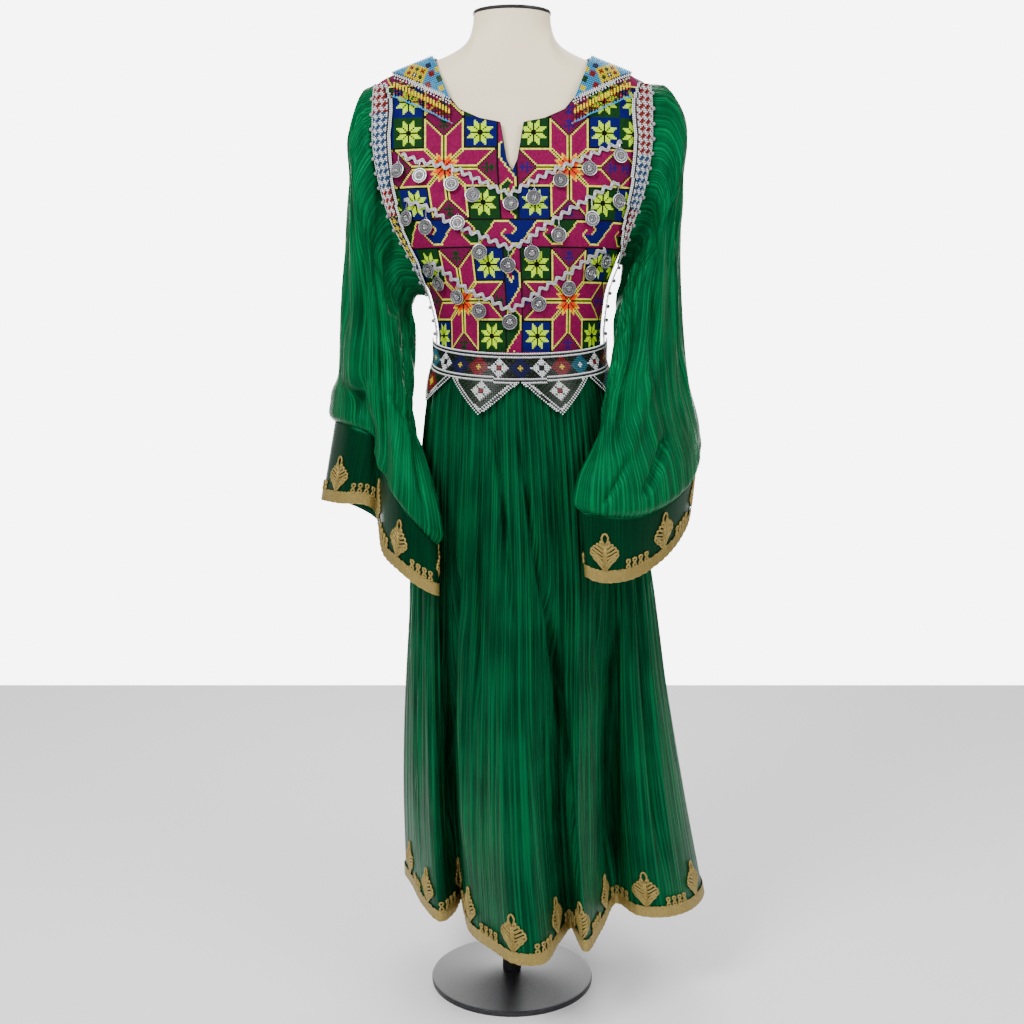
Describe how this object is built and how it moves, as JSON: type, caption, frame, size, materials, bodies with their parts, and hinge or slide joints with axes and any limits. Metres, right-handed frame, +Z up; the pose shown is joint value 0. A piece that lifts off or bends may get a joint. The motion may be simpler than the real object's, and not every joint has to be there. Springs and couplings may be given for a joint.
{
  "type": "embroidered dress on a dress form",
  "caption": "Long-sleeved dress with an embroidered, bead-trimmed bodice, gathered skirt and gold-braided cuffs and hem, worn by a limbless dress form on a round stand.",
  "frame": {"origin": "centre of the stand base's underside, on the floor", "axes": "+Z up, the front of the dress towards -Y, +X to the right of someone who looks at its front"},
  "size_m": [0.613, 0.4778, 1.5143],
  "materials": {
    "silk": "emerald crinkled satin",
    "cuff_satin": "dark green plain satin",
    "embroidery": "magenta, green, navy and yellow cross-stitch",
    "yoke_beads": "opaque light blue beadwork",
    "fringe_beads": "opaque beads in several colours",
    "band_beads": "white, blue and red beadwork",
    "belt_beads": "black bead net with white borders",
    "silver_braid": "silver metallic thread",
    "coin": "stamped silver-coloured metal",
    "gold_braid": "antique gold cord",
    "form": "cream satin",
    "stand": "dark satin paint"
  },
  "bodies": {
    "root": {"form_torso": "form", "form_neck_cap": "stand", "stand_pole": "stand", "stand_base": "stand", "bodice_front": "embroidery", "bodice_back": "silk", "yoke_left": "yoke_beads", "yoke_fringe_left": "fringe_beads", "armhole_band_left": "band_beads", "sleeve_left": "silk", "cuff_left": "cuff_satin", "cuff_braid_left": "gold_braid", "yoke_right": "yoke_beads", "yoke_fringe_right": "fringe_beads", "armhole_band_right": "band_beads", "sleeve_right": "silk", "cuff_right": "cuff_satin", "cuff_braid_right": "gold_braid", "ric_rac_upper": "silver_braid", "coin_upper_1": "coin", "coin_upper_2": "coin", "coin_upper_3": "coin", "coin_upper_4": "coin", "coin_upper_5": "coin", "coin_upper_6": "coin", "coin_upper_7": "coin", "coin_upper_8": "coin", "coin_upper_9": "coin", "ric_rac_middle": "silver_braid", "coin_middle_1": "coin", "coin_middle_2": "coin", "coin_middle_3": "coin", "coin_middle_4": "coin", "coin_middle_5": "coin", "coin_middle_6": "coin", "coin_middle_7": "coin", "coin_middle_8": "coin", "coin_middle_9": "coin", "ric_rac_lower": "silver_braid", "coin_lower_1": "coin", "coin_lower_2": "coin", "coin_lower_3": "coin", "coin_lower_4": "coin", "coin_lower_5": "coin", "coin_lower_6": "coin", "coin_lower_7": "coin", "coin_lower_8": "coin", "coin_lower_9": "coin", "belt": "belt_beads", "skirt_front": "silk", "skirt_back": "silk", "hem_braid_front": "gold_braid", "hem_braid_back": "gold_braid"}
  },
  "joints": []
}
